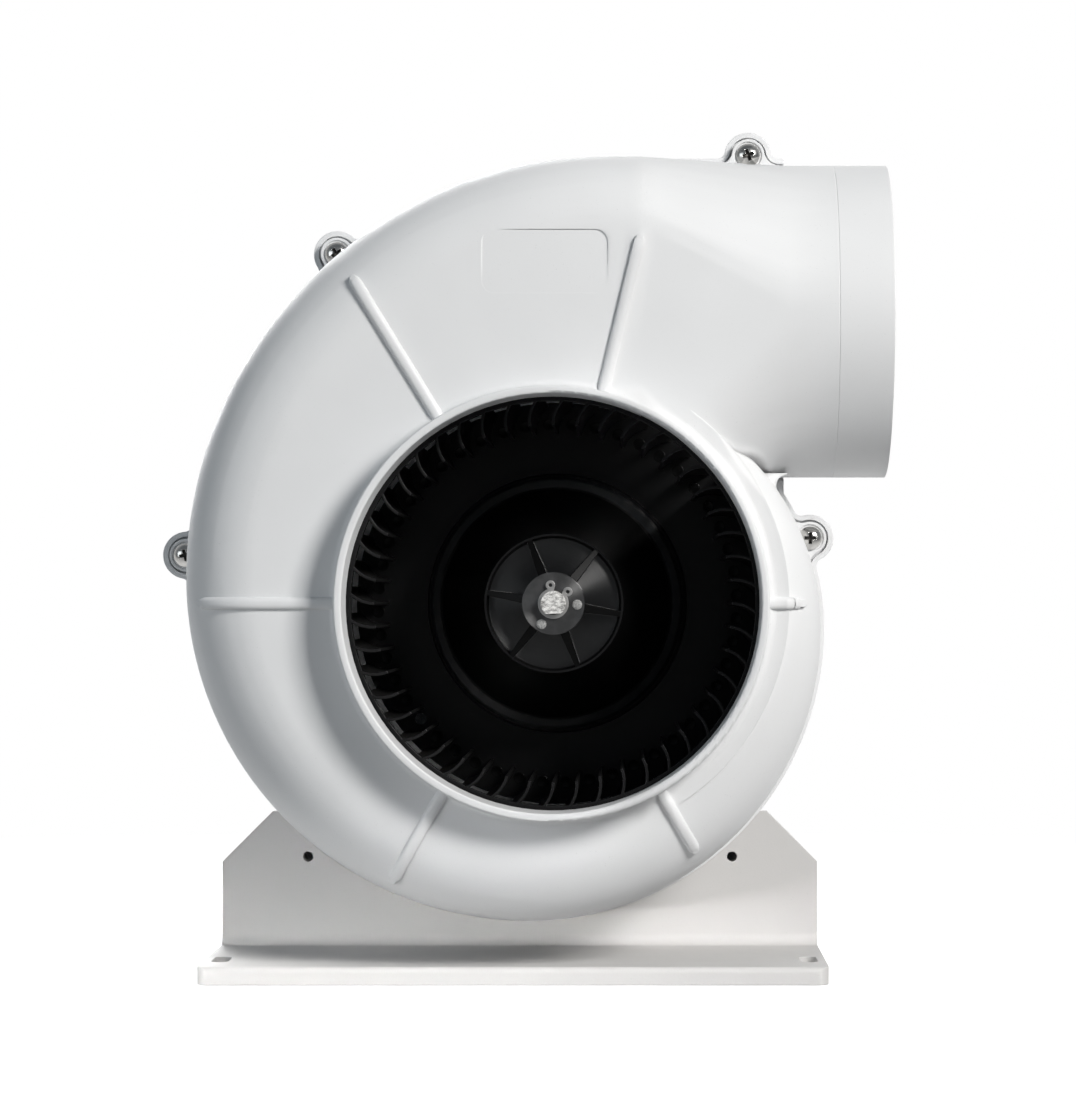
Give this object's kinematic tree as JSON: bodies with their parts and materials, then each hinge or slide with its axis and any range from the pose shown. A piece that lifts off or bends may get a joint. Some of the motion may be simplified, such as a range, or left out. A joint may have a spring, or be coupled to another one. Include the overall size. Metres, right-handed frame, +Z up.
{
  "type": "bilge blower",
  "caption": "Flange-mount centrifugal bilge blower with a split scroll housing, round inlet collar, hose outlet, squirrel-cage impeller on a rear motor and a slotted foot bracket.",
  "frame": {"origin": "on the underside of the foot, midway along its width, straight below the housing's parting plane", "axes": "+X towards the hose outlet, +Y from the inlet to the motor, +Z up"},
  "size_m": [0.2357, 0.1718, 0.2754],
  "materials": {
    "housing_plastic": "satin moulded white",
    "bracket_plastic": "fine moulded texture, warm light grey",
    "impeller_plastic": "semi-matt moulded black",
    "stainless_steel": "bright stainless",
    "shaft_steel": "ground and polished",
    "brass": "machined",
    "bronze": "sintered, oiled",
    "copper": "enamelled or turned",
    "motor_paint": "satin black",
    "black_plastic": "moulded",
    "rubber": "matt",
    "ferrite": "sintered",
    "carbon": "pressed graphite",
    "lamination_steel": "stacked sheet",
    "nylon": "natural"
  },
  "bodies": {
    "housing": {"front_housing": "housing_plastic", "rear_housing": "housing_plastic", "outlet_collar": "housing_plastic", "housing_screws": "stainless_steel", "housing_inserts": "brass", "base_bracket": "bracket_plastic", "bracket_screws": "stainless_steel", "bracket_washers": "stainless_steel", "bracket_inserts": "brass", "motor_can": "motor_paint", "motor_gasket": "rubber", "motor_screws": "stainless_steel", "motor_end_cap": "black_plastic", "end_cap_screws": "stainless_steel", "front_bushing": "bronze", "rear_bushing": "bronze", "magnets": "ferrite", "brush_holders": "brass", "brushes": "carbon", "cable_grommet": "rubber", "cable_clip": "black_plastic"},
    "rotor": {"impeller": "impeller_plastic", "motor_shaft": "shaft_steel", "retaining_ring": "stainless_steel", "armature_core": "lamination_steel", "armature_winding": "copper", "commutator": "copper", "shaft_spacers": "nylon"}
  },
  "joints": [
    {"name": "impeller_spin", "type": "hinge", "parent": "housing", "child": "rotor", "pos_m": [0.013, 0, 0.1217], "axis": [0, 1, 0], "continuous": true}
  ]
}
